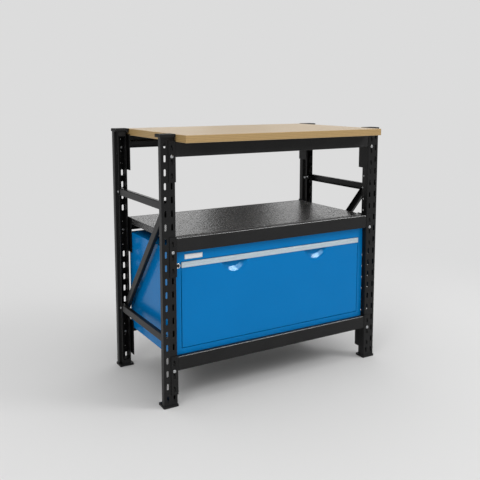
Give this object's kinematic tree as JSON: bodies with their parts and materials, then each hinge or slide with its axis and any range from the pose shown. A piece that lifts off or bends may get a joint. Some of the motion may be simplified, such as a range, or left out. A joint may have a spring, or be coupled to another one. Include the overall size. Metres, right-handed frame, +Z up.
{
  "type": "workbench with drawer",
  "caption": "Steel-framed workbench with a wooden top that overhangs the front, an open steel shelf and a cabinet with one wide, deep lockable drawer.",
  "frame": {"origin": "on the floor, in the middle of the bench's overall plan", "axes": "+X to the right of someone facing the drawer, +Y to the back of the bench, +Z up"},
  "size_m": [1.022, 0.588, 1.0205],
  "materials": {
    "frame_paint": "fine-textured black powder coat",
    "foot_plastic": "matt black moulded plastic",
    "zinc_steel": "bright zinc plating",
    "slide_steel": "zinc-plated rolled steel",
    "lock_chrome": "polished nickel plating",
    "board_wood": "pale sanded board with layered golden edges",
    "shelf_coating": "semi-gloss speckled dark grey coat",
    "cabinet_paint": "semi-gloss blue enamel",
    "pull_aluminium": "satin anodised"
  },
  "bodies": {
    "bench": {"post_front_left": "frame_paint", "post_front_right": "frame_paint", "post_rear_left": "frame_paint", "post_rear_right": "frame_paint", "foot_front_left": "foot_plastic", "foot_front_right": "foot_plastic", "foot_rear_left": "foot_plastic", "foot_rear_right": "foot_plastic", "cap_front_left": "foot_plastic", "cap_front_right": "foot_plastic", "cap_rear_left": "foot_plastic", "cap_rear_right": "foot_plastic", "beam_lower_front": "frame_paint", "beam_lower_rear": "frame_paint", "beam_shelf_front": "frame_paint", "beam_shelf_rear": "frame_paint", "beam_top_front": "frame_paint", "beam_top_rear": "frame_paint", "connectors_lower": "frame_paint", "connectors_shelf": "frame_paint", "connectors_top": "frame_paint", "connector_bolts": "zinc_steel", "brace_upper_left": "frame_paint", "brace_lower_left": "frame_paint", "brace_diagonal_left": "frame_paint", "brace_upper_right": "frame_paint", "brace_lower_right": "frame_paint", "brace_diagonal_right": "frame_paint", "brace_bolts": "zinc_steel", "brace_spacers": "zinc_steel", "worktop": "board_wood", "worktop_screws": "zinc_steel", "shelf_panel": "shelf_coating", "shelf_ribs": "shelf_coating", "cabinet_left_side": "cabinet_paint", "cabinet_right_side": "cabinet_paint", "cabinet_back": "cabinet_paint", "cabinet_top": "cabinet_paint", "cabinet_bottom": "cabinet_paint", "cabinet_front_frame": "cabinet_paint", "name_plate": "pull_aluminium", "slide_brackets": "cabinet_paint", "slide_outer_members": "slide_steel", "lock_housing": "lock_chrome"},
    "drawer": {"drawer_front": "cabinet_paint", "finger_cups": "cabinet_paint", "drawer_top_rail": "cabinet_paint", "drawer_inner_panel": "cabinet_paint", "drawer_left_side": "cabinet_paint", "drawer_right_side": "cabinet_paint", "drawer_back": "cabinet_paint", "drawer_bottom": "cabinet_paint", "pull_strip": "pull_aluminium", "pull_end_caps": "pull_aluminium", "slide_inner_members": "slide_steel"},
    "slide_middles": {"slide_middle_members": "slide_steel"},
    "outer_cages": {"slide_outer_cages": "slide_steel"},
    "inner_cages": {"slide_inner_cages": "slide_steel"},
    "lock": {"lock_plug": "lock_chrome", "lock_cam": "lock_chrome"}
  },
  "joints": [
    {"name": "drawer_slide", "type": "slide", "parent": "bench", "child": "drawer", "axis": [0, -1, 0], "range_m": [0, 0.4]},
    {"name": "middle_member_slide", "type": "slide", "parent": "bench", "child": "slide_middles", "axis": [0, -1, 0], "range_m": [0, 0.2]},
    {"name": "outer_cage_slide", "type": "slide", "parent": "bench", "child": "outer_cages", "axis": [0, -1, 0], "range_m": [0, 0.1]},
    {"name": "inner_cage_slide", "type": "slide", "parent": "bench", "child": "inner_cages", "axis": [0, -1, 0], "range_m": [0, 0.3]},
    {"name": "lock_turn", "type": "hinge", "parent": "bench", "child": "lock", "pos_m": [-0.437, -0.191, 0.532], "axis": [0, -1, 0], "range_deg": [0, 90]}
  ],
  "couplings": [
    {"joint": "middle_member_slide", "follows": "drawer_slide", "ratio": 0.5},
    {"joint": "outer_cage_slide", "follows": "drawer_slide", "ratio": 0.25},
    {"joint": "inner_cage_slide", "follows": "drawer_slide", "ratio": 0.75}
  ]
}
